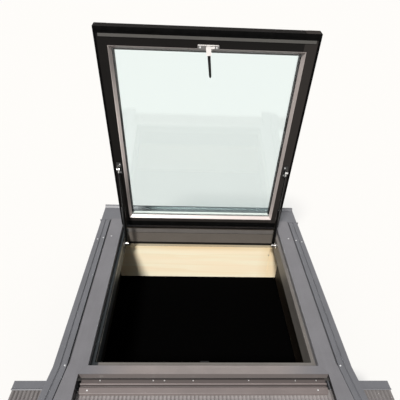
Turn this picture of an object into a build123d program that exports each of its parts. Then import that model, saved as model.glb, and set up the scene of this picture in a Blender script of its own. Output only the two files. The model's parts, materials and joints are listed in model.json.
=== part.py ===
from build123d import *
import os
from math import atan2, cos, degrees, hypot, radians, sin

# Top-hung roof window with its frame, timber lining and flashings, modelled with the sash swung open.
# Millimetres. X runs across the slope, Y up the slope, Z away from the roof. The origin is the centre
# of the frame in plan, at the lower edge of the lining.

# Fixed frame: outer size of the kerb, and each member's width from its nose to its outer wall
FRAME_W = 1140.0
FRAME_L = 1192.0
JAMB_W = 92.0
SILL_W = 74.0
HEAD_W = 72.0
KERB_H = 151.5
WALL = 3.0
COVER_GAP = 0.5

# Rebate: ledge that the sash closes on, and the nose below it
LEDGE_DROP = 28.0
SIDE_LEDGE = 17.0
SILL_LEDGE = 36.0
HEAD_LEDGE = 25.0
NOSE_H = 26.0
NOSE_STEP = 3.5
FOOT_H = 23.0
FOOT_STEP = 8.0

# Timber lining below the kerb: side boards flush with its outer wall, end boards between them
LINING_H = 266.0
BOARD = 40.0
SIDE_BOARD = 25.0
LINING_BACK = 2.0
LINING_HEAD_IN = 12.0
PACKER_L = 65.0
NAIL_IN = 8.0
NAIL_UP = 202.0
FIX_HOLE_R = 3.0
FIX_SPACING_Y = 800.0
FIX_SPACING_Z = 140.0
FIX_Z = 133.0
ARRIS = 2.0

# Covers: folded sheet over the kerb
SHEET = 2.0
BEND_R = 1.5
SIDE_OVERHANG = 10.0
LIP_H = 27.5
OUTER_LIP_H = 14.0
FASCIA_H = 30.0
ARM_LIP_H = 12.0
UPSTAND_DROP = 8.0
ARM_SETBACK = 33.0
ARM_CLEAR = 8.0
MITRE_GAP = 0.3
COVER_SCREW_IN = 33.0
COVER_SCREW_DOWN = 126.0

# Side flashings: two ribs beside each cover, flaring at the foot
FLASH_T = 1.5
FLASH_W = 69.0
RIB_GAP = 8.0
RIB_TOP = -9.0
RIB_FOOT = -24.0
VALLEY = -15.0
RIB_SLOPE = 4.0
FLARE = 0.114
RIB_SCREW_IN = 16.0
RIB_SCREW_OUT = 49.0
RIB_SCREW_DOWN = 131.0
RIB_SCREW_STEP = 15.0
FOOT_SCREW_UP = 6.0

# Apron, its tray and pleated skirt, and the head flashing. The reach is measured from the frame's centre
APRON_DROP = 34.0
APRON_GAP = 10.0
APRON_CHANNEL = 26.0
APRON_BEND = 4.0
APRON_RIB_W = 5.0
APRON_RIB_H = 7.0
APRON_GROOVE_W = 5.0
APRON_GROOVE_H = 4.0
APRON_FACE = 25.0
APRON_FALL = 6.0
APRON_ROUND = 9.0
TRAY_T = 1.5
TRAY_BACK = 3.5
TRAY_L = 37.0
TRAY_DROP = 44.6
REACH = 800.0
SKIRT_W = 1596.0
SKIRT_T = 1.0
SKIRT_LAP = 20.0
SEAT_GAP = 0.1
PLEAT = 16.5
PLEAT_H = 8.0
HEAD_FLASH_OVER = 3.0
BACK_FOLD = 12.0
RIVET_R = 3.0
RIVET_H = 1.6
RIVET_AT = (-0.851, -0.421, -0.33, -0.095, 0.361, 0.749, 0.925)
HEM_RIVET_AT = (-0.936, 0.917)

# Sash: depth, rails, hinge line and opening
SASH_GAP = 2.0
FREE_GAP = 4.4
SASH_DEPTH = 48.0
SASH_PROUD = 23.0
STILE_W = 54.0
FREE_RAIL_W = 72.0
HINGE_RAIL_W = 56.0
HINGE_SETBACK = 10.6
HINGE_UP = 20.0
HINGE_EDGE = 8.0
OPEN_ANGLE = 83.0
LIP_W = 14.0
LIP_T = 2.0
SASH_ROUND = 2.0
KEY_L = 40.0
KEY_GAP = 0.3

# Glazing
PANE_T = 4.0
SPACER_T = 16.0
EDGE_GAP = 7.0
GASKET_T = 2.0
SPACER_W = 8.0
SEALANT_W = 8.0
BEAD_W = 15.0
BEAD_LAND = 2.2
BEAD_TOP = 2.5
BLOCK_L = 100.0
BLOCK_IN = 189.0
SEAL_T = 2.7
SEAL_W = 11.0
SEAL_FREE_W = 25.5
SEAL_HINGE_W = 32.0
STRIP_W = 12.0
STRIP_IN = 8.0
STRIP_T = 2.0

# Hinges
HINGE_IN = 163.0
HINGE_L = 90.0
KNUCKLE_R = 5.5
PIN_R = 2.5
PIN_GAP = 0.05
KNUCKLE_GAP = 0.5
LEAF_T = 2.5
LEAF_W = 40.0
SCREW_R = 4.0
SCREW_H = 1.5

# Handle and keeper. The lever rests a little off square
HANDLE_X = 2.0
HANDLE_LEAN = 6.5
HANDLE_INSET = 66.0
BASE_L = 96.0
BASE_W = 19.0
BASE_T = 8.0
SPINDLE_R = 4.0
NECK_R = 9.0
NECK_H = 12.0
TONGUE_L = 28.0
TONGUE_W = 9.0
TONGUE_T = 3.5
LEVER_T = 11.0
LEVER_W = 14.0
LEVER_TIP_W = 11.0
LEVER_L = 119.0
LEVER_ROUND = 2.5
COLLAR_L = 24.0
COLLAR_WALL = 4.0
KEEPER_W = 40.0
KEEPER_T = 2.0
KEEPER_REACH = 14.0
TONGUE_GAP = 0.5

# Gas struts
STRUT_IN = 16.0
STRUT_FOOT_DOWN = 72.0
STRUT_FOOT_FROM_HEAD = 101.0
STRUT_TOP_S = 412.0
STRUT_TOP_OFF = 16.0
EYE_R = 8.0
EYE_W = 10.0
STUD_R = 4.0
TUBE_R = 10.0
TUBE_L = 244.0
ROD_R = 4.0
ROD_GAP = 0.5
SHANK_L = 18.0
ROD_IN = 22.0
BRACKET_T = 3.0
BRACKET_L = 72.0
BRACKET_W = 26.0
BRACKET_IN = 8.5
FOOT_PLATE_L = 44.0
FOOT_PLATE_H = 28.0
OPEN_PIVOT_GAP = 0.3

# Planes and edges that follow from the sizes above
TOP = LINING_H + KERB_H + COVER_GAP + SHEET
KERB_TOP = TOP - SHEET - COVER_GAP
KERB_FOOT = KERB_TOP - KERB_H
LEDGE_Z = TOP - LEDGE_DROP
NOSE_X = FRAME_W / 2 - JAMB_W
NOSE_SILL = -FRAME_L / 2 + SILL_W
NOSE_HEAD = FRAME_L / 2 - HEAD_W
LINING_X = FRAME_W / 2 - SIDE_BOARD
LINING_JOINT = LINING_X - PACKER_L
LINING_SILL = NOSE_SILL - LINING_BACK
LINING_HEAD = NOSE_HEAD - LINING_HEAD_IN
EDGE_X = NOSE_X + SIDE_LEDGE
EDGE_SILL = NOSE_SILL - SILL_LEDGE
EDGE_HEAD = NOSE_HEAD + HEAD_LEDGE
COVER_X = FRAME_W / 2 + SIDE_OVERHANG
COVER_BACK = FRAME_L / 2 + 2 * COVER_GAP + FLASH_T + SHEET
COVER_FRONT = -COVER_BACK
MITRE = EDGE_SILL - COVER_FRONT
ARM_X = EDGE_X + ARM_SETBACK
ARM_END = ARM_CLEAR - REACH
FLASH_X = COVER_X + FLASH_W
APRON_X = ARM_X - APRON_GAP
APRON_WALL = -FRAME_L / 2 - COVER_GAP - FLASH_T
APRON_FLOOR = TOP - APRON_DROP
APRON_BROW = APRON_WALL - APRON_CHANNEL - 3 * APRON_BEND - APRON_RIB_W - APRON_GROOVE_W
APRON_HEM = APRON_BROW - APRON_FACE - APRON_BEND
TRAY_FRONT = COVER_FRONT - TRAY_BACK - TRAY_L
HINGE_Y = EDGE_HEAD - HINGE_SETBACK
HINGE_Z = TOP + HINGE_UP
SASH_X = EDGE_X - SASH_GAP
SASH_FREE = EDGE_SILL + FREE_GAP
SASH_END = HINGE_Y - HINGE_EDGE
SASH_OUT = TOP + SASH_PROUD
SASH_IN = SASH_OUT - SASH_DEPTH
SIGHT_X = SASH_X - STILE_W
SIGHT_FREE = SASH_FREE + FREE_RAIL_W
SIGHT_HINGE = SASH_END - HINGE_RAIL_W
GLASS_OUT = SASH_OUT - LIP_T - GASKET_T
GLASS_IN = GLASS_OUT - 2 * PANE_T - SPACER_T
BEAD_Z = GLASS_IN - GASKET_T
HANDLE_Y = SASH_FREE + HANDLE_INSET
BLOCK_X = SIGHT_X - BLOCK_IN
HINGE_X = SASH_X - HINGE_IN
STRUT_X = NOSE_X - STRUT_IN
HINGE_LINE = Axis((0, HINGE_Y, HINGE_Z), (1, 0, 0))
FOOT_Y = NOSE_HEAD - STRUT_FOOT_FROM_HEAD
FOOT_Z = TOP - STRUT_FOOT_DOWN
SWING_Y = HINGE_Y - STRUT_TOP_S
SWING_Z = SASH_IN - STRUT_TOP_OFF


def prism_x(points, x0, x1):
    """Solid with a (y, z) outline, from x0 to x1."""
    face = Plane.YZ * make_face(Polyline(*points, close=True))
    return Pos(x0, 0, 0) * extrude(face, amount=x1 - x0, dir=(1, 0, 0))


def prism_y(points, y0, y1):
    """Solid with an (x, z) outline, from y0 to y1."""
    face = Plane.XZ * make_face(Polyline(*points, close=True))
    return Pos(0, y0, 0) * extrude(face, amount=y1 - y0, dir=(0, 1, 0))


def prism_z(points, z0, z1):
    """Solid with an (x, y) outline, from z0 to z1."""
    face = make_face(Polyline(*points, close=True))
    return Pos(0, 0, z0) * extrude(face, amount=z1 - z0, dir=(0, 0, 1))


def block(x0, x1, y0, y1, z0, z1):
    """Box between two corners."""
    centre = Pos((x0 + x1) / 2, (y0 + y1) / 2, (z0 + z1) / 2)
    return centre * Box(x1 - x0, y1 - y0, z1 - z0)


def ring(x, y0, y1, width, y0_width, y1_width, z0, z1):
    """Flat rectangular ring of outer half width x, with its own width at each end."""
    outer = block(-x, x, y0, y1, z0, z1)
    return outer - block(-x + width, x - width, y0 + y0_width, y1 - y1_width, z0, z1)


def rod_x(x0, x1, y, z, radius):
    """Round bar along X."""
    return Pos((x0 + x1) / 2, y, z) * Rot(0, 90, 0) * Cylinder(radius, abs(x1 - x0))


def offset_points(points, distance):
    """Points of the line parallel to a chain of straight runs, to its left, mitred at each bend."""
    runs = []
    for (ax, ay), (bx, by) in zip(points, points[1:]):
        length = hypot(bx - ax, by - ay)
        runs.append(((bx - ax) / length, (by - ay) / length))
    moved = []
    for i, (px, py) in enumerate(points):
        before = runs[max(i - 1, 0)]
        after = runs[min(i, len(runs) - 1)]
        nx, ny = -before[1] - after[1], before[0] + after[0]
        scale = 2 * distance / (nx * nx + ny * ny)
        moved.append((px + nx * scale, py + ny * scale))
    return moved


def folded(points, thickness):
    """Section of a folded sheet, to the left of the points, or to the right where thickness is negative."""
    far = offset_points(points, thickness)
    near_radii, far_radii = [], []
    for a, b, c in zip(points, points[1:], points[2:]):
        turn = (b[0] - a[0]) * (c[1] - b[1]) - (b[1] - a[1]) * (c[0] - b[0])
        outer_near = turn * thickness > 0
        near_radii.append(BEND_R + abs(thickness) if outer_near else BEND_R)
        far_radii.append(BEND_R if outer_near else BEND_R + abs(thickness))
    near = FilletPolyline(*points, radius=near_radii)
    back = FilletPolyline(*far[::-1], radius=far_radii[::-1])
    return make_face([near, Line(near @ 1, back @ 0), back, Line(back @ 1, near @ 0)])


def folded_x(points, thickness, x0, x1):
    """Folded sheet with a (y, z) section, from x0 to x1."""
    return Pos(x0, 0, 0) * extrude(Plane.YZ * folded(points, thickness), amount=x1 - x0, dir=(1, 0, 0))


def folded_y(points, thickness, y0, y1, flare=0.0):
    """Folded sheet with an (x, z) section at y0, running to y1 and moving in X by flare for each unit."""
    run = Vector(abs(y1 - y0) * flare, y1 - y0, 0)
    face = Plane.XZ * folded(points, thickness)
    return Pos(0, y0, 0) * extrude(face, amount=run.length, dir=run.normalized())


def both_sides(shape):
    """The shape and its mirror image across the centre line."""
    return shape, mirror(shape, about=Plane.YZ)


def opened(shape):
    """A sash piece, modelled closed, swung open about the hinge line."""
    return shape.rotate(HINGE_LINE, -OPEN_ANGLE)


def kerb_outline(ledge, width):
    """Outer section of a kerb member, as distance from its nose and height."""
    wall = ledge + SHEET + COVER_GAP
    return [
        (0, LEDGE_Z), (wall, LEDGE_Z), (wall, KERB_TOP), (width, KERB_TOP), (width, KERB_FOOT),
        (NOSE_STEP + FOOT_STEP, KERB_FOOT), (NOSE_STEP + FOOT_STEP, KERB_FOOT + FOOT_H),
        (NOSE_STEP, KERB_FOOT + FOOT_H), (NOSE_STEP, LEDGE_Z - NOSE_H - NOSE_STEP), (0, LEDGE_Z - NOSE_H),
    ]


def kerb_chambers(ledge, width):
    """The two hollow chambers of a kerb member's section."""
    wall = ledge + SHEET + COVER_GAP
    inner = NOSE_STEP + WALL
    web = (wall + width) / 2
    low, high = KERB_FOOT + WALL, KERB_TOP - WALL
    first = [
        (inner, LEDGE_Z - WALL), (wall + WALL, LEDGE_Z - WALL), (wall + WALL, high), (web - WALL / 2, high),
        (web - WALL / 2, low), (inner + FOOT_STEP, low), (inner + FOOT_STEP, low + FOOT_H), (inner, low + FOOT_H),
    ]
    second = [(web + WALL / 2, high), (width - WALL, high), (width - WALL, low), (web + WALL / 2, low)]
    return first, second


def jamb_envelope():
    """The right jamb before its chambers are taken out."""
    points = [(NOSE_X + d, z) for d, z in kerb_outline(SIDE_LEDGE, JAMB_W)]
    return prism_y(points, -FRAME_L / 2, FRAME_L / 2)


def kerb_jamb():
    """Right jamb of the kerb, the length of the frame."""
    jamb = jamb_envelope()
    for chamber in kerb_chambers(SIDE_LEDGE, JAMB_W):
        points = [(NOSE_X + d, z) for d, z in chamber]
        jamb -= prism_y(points, -FRAME_L / 2 + WALL, FRAME_L / 2 - WALL)
    return jamb


def kerb_end(nose, sign, ledge, width):
    """Sill (sign -1) or head (sign 1) of the kerb, coped to the jambs."""
    member = prism_x([(nose + sign * d, z) for d, z in kerb_outline(ledge, width)], -FRAME_W / 2, FRAME_W / 2)
    for side in both_sides(jamb_envelope()):
        member -= side
    for chamber in kerb_chambers(ledge, width):
        points = [(nose + sign * d, z) for d, z in chamber]
        member -= prism_x(points, -NOSE_X + WALL, NOSE_X - WALL)
    return member


def lining_side():
    """Right lining board, with its four fixing holes and eased lower arrises."""
    board = block(LINING_X, FRAME_W / 2, LINING_SILL - BOARD, LINING_HEAD + BOARD, 0, LINING_H)
    board = chamfer(board.edges().filter_by(Axis.Y).group_by(Axis.Z)[0], ARRIS)
    for y in (-FIX_SPACING_Y / 2, FIX_SPACING_Y / 2):
        for z in (FIX_Z - FIX_SPACING_Z / 2, FIX_Z + FIX_SPACING_Z / 2):
            board -= rod_x(LINING_X - 1, FRAME_W / 2 + 1, y, z, FIX_HOLE_R)
    return board


def lining_end(x0, x1, y0):
    """End lining board between two places across the opening."""
    board = block(x0, x1, y0, y0 + BOARD, 0, LINING_H)
    return chamfer(board.edges().filter_by(Axis.X).group_by(Axis.Z)[0], ARRIS)


def lining_head_boards():
    """Head lining: a long board and a short packer, eased where they meet."""
    boards = [lining_end(-LINING_X, LINING_JOINT, LINING_HEAD), lining_end(LINING_JOINT, LINING_X, LINING_HEAD)]
    eased = []
    for board in boards:
        front = board.edges().filter_by(Axis.Z).group_by(Axis.Y)[0]
        eased.append(chamfer(front.filter_by_position(Axis.X, LINING_JOINT - 1, LINING_JOINT + 1), ARRIS))
    return eased


def side_cover():
    """Right side cover: a folded strip along the jamb, with an arm that runs on beside the apron."""
    section = [(EDGE_X, TOP - LIP_H), (EDGE_X, TOP), (COVER_X, TOP), (COVER_X, TOP - OUTER_LIP_H)]
    strip = folded_y(section, -SHEET, EDGE_SILL, FRAME_L / 2)
    strip -= block(EDGE_X, EDGE_X + SHEET + BEND_R, EDGE_HEAD, FRAME_L / 2, TOP - LIP_H, TOP - SHEET)
    flare_x = COVER_X + FLARE * (EDGE_SILL - ARM_END)
    plate = prism_z([
        (EDGE_X, EDGE_SILL), (EDGE_X + MITRE, COVER_FRONT), (ARM_X, COVER_FRONT), (ARM_X, ARM_END),
        (flare_x, ARM_END), (COVER_X, EDGE_SILL),
    ], TOP - SHEET, TOP)
    inner = block(ARM_X, ARM_X + SHEET, ARM_END, COVER_FRONT, TOP - ARM_LIP_H, TOP - SHEET)
    outer = prism_z([
        (COVER_X - SHEET, EDGE_SILL), (flare_x - SHEET, ARM_END), (flare_x, ARM_END), (COVER_X, EDGE_SILL),
    ], TOP - OUTER_LIP_H, TOP - SHEET)
    return strip + plate + inner + outer


def sill_cover():
    """Sill cover: mitred top, lip into the rebate and a fascia at the front."""
    x = EDGE_X - MITRE_GAP
    top = prism_z([
        (-x, EDGE_SILL), (x, EDGE_SILL), (x + MITRE, COVER_FRONT), (-x - MITRE, COVER_FRONT),
    ], TOP - SHEET, TOP)
    lip = block(-x, x, EDGE_SILL - SHEET, EDGE_SILL, TOP - LIP_H, TOP - SHEET)
    width = ARM_X - MITRE_GAP
    fascia = block(-width, width, COVER_FRONT, COVER_FRONT + SHEET, TOP - FASCIA_H, TOP - SHEET)
    return top + lip + fascia


def head_cover():
    """Head cover between the side covers, lipped into the rebate and turned down at the back."""
    section = [
        (EDGE_HEAD, TOP - LIP_H), (EDGE_HEAD, TOP), (COVER_BACK, TOP), (COVER_BACK, TOP - OUTER_LIP_H),
    ]
    return folded_x(section, -SHEET, -EDGE_X + MITRE_GAP, EDGE_X - MITRE_GAP)


def side_flashing():
    """Right side flashing: upstand at the kerb, two ribs, and a foot that flares beside the apron."""
    inner = FRAME_W / 2 + COVER_GAP + FLASH_T
    rib = COVER_X + RIB_GAP
    middle = COVER_X + FLASH_W / 2
    outer = FLASH_X
    section = [
        (inner, TOP - UPSTAND_DROP), (inner, TOP + RIB_FOOT), (rib - RIB_SLOPE / 2, TOP + RIB_FOOT),
        (rib, TOP + RIB_TOP), (middle - RIB_SLOPE, TOP + RIB_TOP), (middle, TOP + VALLEY),
        (middle + RIB_SLOPE, TOP + RIB_TOP), (outer - RIB_SLOPE, TOP + RIB_TOP), (outer, TOP + RIB_FOOT),
        (outer, TOP + RIB_FOOT - RIB_SLOPE),
    ]
    run = folded_y(section, -FLASH_T, EDGE_SILL, FRAME_L / 2)
    foot = folded_y(section[1:], -FLASH_T, EDGE_SILL, ARM_END, FLARE)
    return run + foot


def apron():
    """Apron: upstand behind the fascia, channel, rib, groove and sloping face, rounded at its front corners."""
    rib = APRON_WALL - APRON_CHANNEL - APRON_BEND
    groove = rib - APRON_RIB_W - APRON_BEND
    section = [
        (APRON_WALL, TOP - UPSTAND_DROP), (APRON_WALL, APRON_FLOOR), (rib + APRON_BEND, APRON_FLOOR),
        (rib, APRON_FLOOR + APRON_RIB_H), (rib - APRON_RIB_W, APRON_FLOOR + APRON_RIB_H),
        (groove, APRON_FLOOR - APRON_GROOVE_H), (APRON_BROW + APRON_BEND, APRON_FLOOR - APRON_GROOVE_H),
        (APRON_BROW, APRON_FLOOR + APRON_GROOVE_H),
        (APRON_BROW - APRON_FACE, APRON_FLOOR + APRON_GROOVE_H - APRON_FALL),
        (APRON_HEM, TOP - TRAY_DROP - TRAY_T - SEAT_GAP + FLASH_T / 2),
    ]
    sheet = folded_x(section, FLASH_T, -APRON_X, APRON_X)
    depth = 2 * (-APRON_HEM)
    plan = Pos(0, APRON_HEM + depth / 2, APRON_FLOOR) * Box(2 * APRON_X, depth, 4 * APRON_DROP)
    return sheet & fillet(plan.edges().filter_by(Axis.Z).group_by(Axis.Y)[0], APRON_ROUND)


def apron_tray():
    """Flat tray below the apron, the width of the skirt, with a raised bead along its front."""
    z = TOP - TRAY_DROP
    section = [
        (COVER_FRONT - TRAY_BACK, z), (TRAY_FRONT, z), (TRAY_FRONT - 2 * TRAY_T, z + 2 * TRAY_T),
        (TRAY_FRONT - 4 * TRAY_T, z + 2 * TRAY_T), (TRAY_FRONT - 6 * TRAY_T, z),
    ]
    return folded_x(section, TRAY_T, -SKIRT_W / 2, SKIRT_W / 2)


def apron_skirt():
    """Pleated skirt: a zigzag sheet that hangs on below the tray."""
    count = round(SKIRT_W / PLEAT)
    pitch = SKIRT_W / count
    high = TOP - TRAY_DROP - TRAY_T - SEAT_GAP
    upper = []
    for i in range(count):
        x = -SKIRT_W / 2 + i * pitch
        upper += [(x, high - PLEAT_H), (x + 0.35 * pitch, high), (x + 0.65 * pitch, high)]
    upper.append((SKIRT_W / 2, high - PLEAT_H))
    lower = [(x, z - SKIRT_T) for x, z in upper[::-1]]
    return prism_y(upper + lower, -REACH, TRAY_FRONT + SKIRT_LAP)


def apron_rivets():
    """Blind rivets in the apron's channel and on its sloping face."""
    head = Pos(0, 0, RIVET_H / 2) * Cylinder(RIVET_R, RIVET_H)
    in_channel = [Pos(at * APRON_X, APRON_WALL - APRON_CHANNEL / 2, APRON_FLOOR) * head for at in RIVET_AT]
    slope = degrees(atan2(APRON_FALL, APRON_FACE))
    middle = APRON_FLOOR + APRON_GROOVE_H - APRON_FALL / 2
    on_face = [
        Pos(at * APRON_X, APRON_BROW - APRON_FACE / 2, middle) * Rot(slope, 0, 0) * head for at in HEM_RIVET_AT
    ]
    return Compound(in_channel + on_face)


def head_flashing():
    """Head flashing behind the frame, with an upstand at the kerb and a raised fold at its back edge."""
    wall = FRAME_L / 2 + COVER_GAP + FLASH_T
    flat = TOP + RIB_FOOT - RIB_SLOPE
    section = [
        (wall, TOP - UPSTAND_DROP), (wall, flat), (REACH - 2 * BACK_FOLD, flat),
        (REACH - BACK_FOLD, flat + BACK_FOLD), (REACH, flat + BACK_FOLD),
    ]
    half = FLASH_X + HEAD_FLASH_OVER
    return folded_x(section, -FLASH_T, -half, half)


def screw_heads(places, z):
    """Domed screw heads standing on a face at height z."""
    dome = fillet(Cylinder(SCREW_R, SCREW_H).edges().group_by(Axis.Z)[-1], SCREW_H * 0.6)
    return [Pos(x, y, z + SCREW_H / 2) * dome for x, y in places]


def cover_screws():
    """Screws at the top of the side covers and flashings, and one at the foot of each flashing."""
    on_cover = [(COVER_X - COVER_SCREW_IN, NOSE_HEAD - COVER_SCREW_DOWN)]
    on_flashing = [
        (COVER_X + RIB_SCREW_IN, NOSE_HEAD - RIB_SCREW_DOWN),
        (COVER_X + RIB_SCREW_OUT, NOSE_HEAD - RIB_SCREW_DOWN - RIB_SCREW_STEP),
        (COVER_X + RIB_SCREW_IN, EDGE_SILL + FOOT_SCREW_UP),
    ]
    heads = screw_heads(on_cover, TOP) + screw_heads(on_flashing, TOP + RIB_TOP)
    return Compound([side for head in heads for side in both_sides(head)])


def stile():
    """Right stile: a hollow box section with the outer glazing lip."""
    section = [
        (SIGHT_X - LIP_W, SASH_OUT), (SASH_X, SASH_OUT), (SASH_X, SASH_IN), (SIGHT_X, SASH_IN),
        (SIGHT_X, SASH_OUT - LIP_T), (SIGHT_X - LIP_W, SASH_OUT - LIP_T),
    ]
    solid = prism_y(section, SASH_FREE, SASH_END)
    outer_edges = solid.edges().filter_by(Axis.Y).group_by(Axis.X)[-1]
    solid = fillet(outer_edges, SASH_ROUND)
    for y0, y1 in ((SASH_FREE, SIGHT_FREE), (SIGHT_HINGE, SASH_END)):
        solid -= block(SIGHT_X - LIP_W, SIGHT_X, y0, y1, SASH_OUT - LIP_T, SASH_OUT)
    return solid - block(
        SIGHT_X + WALL, SASH_X - WALL, SASH_FREE + WALL, SASH_END - WALL, SASH_IN + WALL, SASH_OUT - WALL
    )


def rail_outline(edge, sight):
    """Section of a rail, from its outer edge to the sight line, with the outer glazing lip."""
    step = LIP_W if sight > edge else -LIP_W
    return [
        (edge, SASH_OUT), (sight + step, SASH_OUT), (sight + step, SASH_OUT - LIP_T), (sight, SASH_OUT - LIP_T),
        (sight, SASH_IN), (edge, SASH_IN),
    ]


def rail(edge, sight):
    """Free-end or hinge rail: a hollow box section between the stiles."""
    solid = prism_x(rail_outline(edge, sight), -SIGHT_X, SIGHT_X)
    solid = fillet(solid.edges().filter_by(Axis.X).filter_by_position(Axis.Y, edge - 0.1, edge + 0.1), SASH_ROUND)
    low, high = sorted((edge, sight))
    solid -= block(-SIGHT_X, SIGHT_X, low + WALL, high - WALL, SASH_IN + WALL, SASH_OUT - WALL)
    for side in (-1, 1):
        inner, outer = sorted((side * (SIGHT_X - LIP_W), side * SIGHT_X))
        solid -= block(inner, outer, SIGHT_FREE, SIGHT_HINGE, SASH_OUT - LIP_T, SASH_OUT)
    return solid


def corner_keys():
    """Keys that plug the ends of the two rails, where they meet the stiles."""
    keys = []
    for low, high in ((SASH_FREE, SIGHT_FREE), (SIGHT_HINGE, SASH_END)):
        key = block(
            SIGHT_X - KEY_L, SIGHT_X, low + WALL + KEY_GAP, high - WALL - KEY_GAP,
            SASH_IN + WALL + KEY_GAP, SASH_OUT - WALL - KEY_GAP,
        )
        keys += both_sides(key)
    return Compound(keys)


def beads():
    """The four bevelled glazing beads, mitred at the corners: left, right, free end and hinge end."""
    x, y0, y1 = SIGHT_X, SIGHT_FREE, SIGHT_HINGE
    middle = (y0 + y1) / 2
    frame = block(-x, x, y0, y1, SASH_IN + COVER_GAP, BEAD_Z)
    land = Pos(0, middle, BEAD_Z) * Rectangle(2 * (x - BEAD_W), y1 - y0 - 2 * BEAD_W)
    knee = Pos(0, middle, BEAD_Z - BEAD_LAND) * Rectangle(2 * (x - BEAD_W), y1 - y0 - 2 * BEAD_W)
    mouth = Pos(0, middle, SASH_IN + COVER_GAP) * Rectangle(2 * (x - BEAD_TOP), y1 - y0 - 2 * BEAD_TOP)
    frame -= loft([mouth, knee])
    frame -= extrude(land, amount=-BEAD_LAND, dir=(0, 0, 1))
    side = prism_z([(x, y0), (x, y1), (x - BEAD_W, y1 - BEAD_W), (x - BEAD_W, y0 + BEAD_W)], SASH_IN, BEAD_Z)
    free = prism_z([(-x, y0), (x, y0), (x - BEAD_W, y0 + BEAD_W), (BEAD_W - x, y0 + BEAD_W)], SASH_IN, BEAD_Z)
    hinge = prism_z([(-x, y1), (x, y1), (x - BEAD_W, y1 - BEAD_W), (BEAD_W - x, y1 - BEAD_W)], SASH_IN, BEAD_Z)
    right, left = both_sides(frame & side)
    return {"bead_left": left, "bead_right": right, "bead_free": frame & free, "bead_hinge": frame & hinge}


def glazing():
    """Sealed double glazing, its gaskets and setting blocks."""
    x, y0, y1 = SIGHT_X - EDGE_GAP, SIGHT_FREE + EDGE_GAP, SIGHT_HINGE - EDGE_GAP
    s = SEALANT_W
    mid0, mid1 = GLASS_IN + PANE_T, GLASS_OUT - PANE_T
    blocks = block(BLOCK_X - BLOCK_L / 2, BLOCK_X + BLOCK_L / 2, SIGHT_FREE, y0, GLASS_IN, GLASS_OUT)
    g = BEAD_W - EDGE_GAP
    return {
        "outer_pane": block(-x, x, y0, y1, mid1, GLASS_OUT),
        "inner_pane": block(-x, x, y0, y1, GLASS_IN, mid0),
        "edge_sealant": ring(x, y0, y1, s, s, s, mid0, mid1),
        "spacer_bar": ring(x - s, y0 + s, y1 - s, SPACER_W, SPACER_W, SPACER_W, mid0, mid1),
        "outer_gasket": ring(x, y0, y1, EDGE_GAP, EDGE_GAP, EDGE_GAP, GLASS_OUT, GLASS_OUT + GASKET_T),
        "inner_gasket": ring(x, y0, y1, g, g, g, BEAD_Z, GLASS_IN),
        "setting_blocks": Compound(list(both_sides(blocks))),
    }


def weather_seal():
    """Rubber seal round the inside face, which closes on the kerb's ledge."""
    return ring(SASH_X, SASH_FREE, SASH_END, SEAL_W, SEAL_FREE_W, SEAL_HINGE_W, SASH_IN - SEAL_T, SASH_IN)


def free_end_strip():
    """Aluminium strip along the free end, inside the seal."""
    y = SASH_FREE + SEAL_FREE_W + COVER_GAP
    half = SASH_X - SEAL_W - STRIP_IN
    strip = block(-half, half, y, y + STRIP_W, SASH_IN - STRIP_T, SASH_IN)
    return fillet(strip.edges().filter_by(Axis.Z), COVER_GAP)


def knuckle(x0, x1):
    """Hinge knuckle between two places along the hinge line, bored for the pin."""
    barrel = rod_x(x0, x1, HINGE_Y, HINGE_Z, KNUCKLE_R)
    return barrel - rod_x(x0 - 1, x1 + 1, HINGE_Y, HINGE_Z, PIN_R + PIN_GAP)


def knuckle_spans():
    """The three stretches of a hinge's barrel: frame, sash, frame."""
    third = HINGE_L / 3
    start = HINGE_X - HINGE_L / 2
    return [(start + i * third + KNUCKLE_GAP / 2, start + (i + 1) * third - KNUCKLE_GAP / 2) for i in range(3)]


def frame_leaf():
    """Right hinge's frame leaf: a plate on the head cover that rises to two knuckles."""
    end = EDGE_HEAD + LEAF_W
    reach = HINGE_Y + KNUCKLE_R - LEAF_T
    leaf = block(HINGE_X - HINGE_L / 2, HINGE_X + HINGE_L / 2, reach, end, TOP, TOP + LEAF_T)
    outer_spans = knuckle_spans()[::2]
    for x0, x1 in outer_spans:
        web = block(x0, x1, reach, reach + LEAF_T, TOP, HINGE_Z)
        web -= rod_x(x0 - 1, x1 + 1, HINGE_Y, HINGE_Z, PIN_R + PIN_GAP)
        leaf += web + knuckle(x0, x1)
    return leaf


def sash_leaf():
    """Right hinge's sash leaf: a plate on the sash's outside face that ends in the middle knuckle."""
    x0, x1 = knuckle_spans()[1]
    top = HINGE_Z + KNUCKLE_R
    plate = block(
        HINGE_X - HINGE_L / 2, HINGE_X + HINGE_L / 2, SASH_END - LEAF_W, SASH_END - COVER_GAP, SASH_OUT, top
    )
    tongue = block(x0, x1, SASH_END - COVER_GAP, HINGE_Y, SASH_OUT, top)
    tongue -= rod_x(x0 - 1, x1 + 1, HINGE_Y, HINGE_Z, PIN_R + PIN_GAP)
    return plate + tongue + knuckle(x0, x1)


def hinge_pin():
    """Right hinge's pin, with a head at each end."""
    half = HINGE_L / 2
    pin = rod_x(HINGE_X - half, HINGE_X + half, HINGE_Y, HINGE_Z, PIN_R)
    for side in (-1, 1):
        ends = sorted((HINGE_X + side * half, HINGE_X + side * (half + 2)))
        pin += rod_x(*ends, HINGE_Y, HINGE_Z, PIN_R + 1.2)
    return pin


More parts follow.
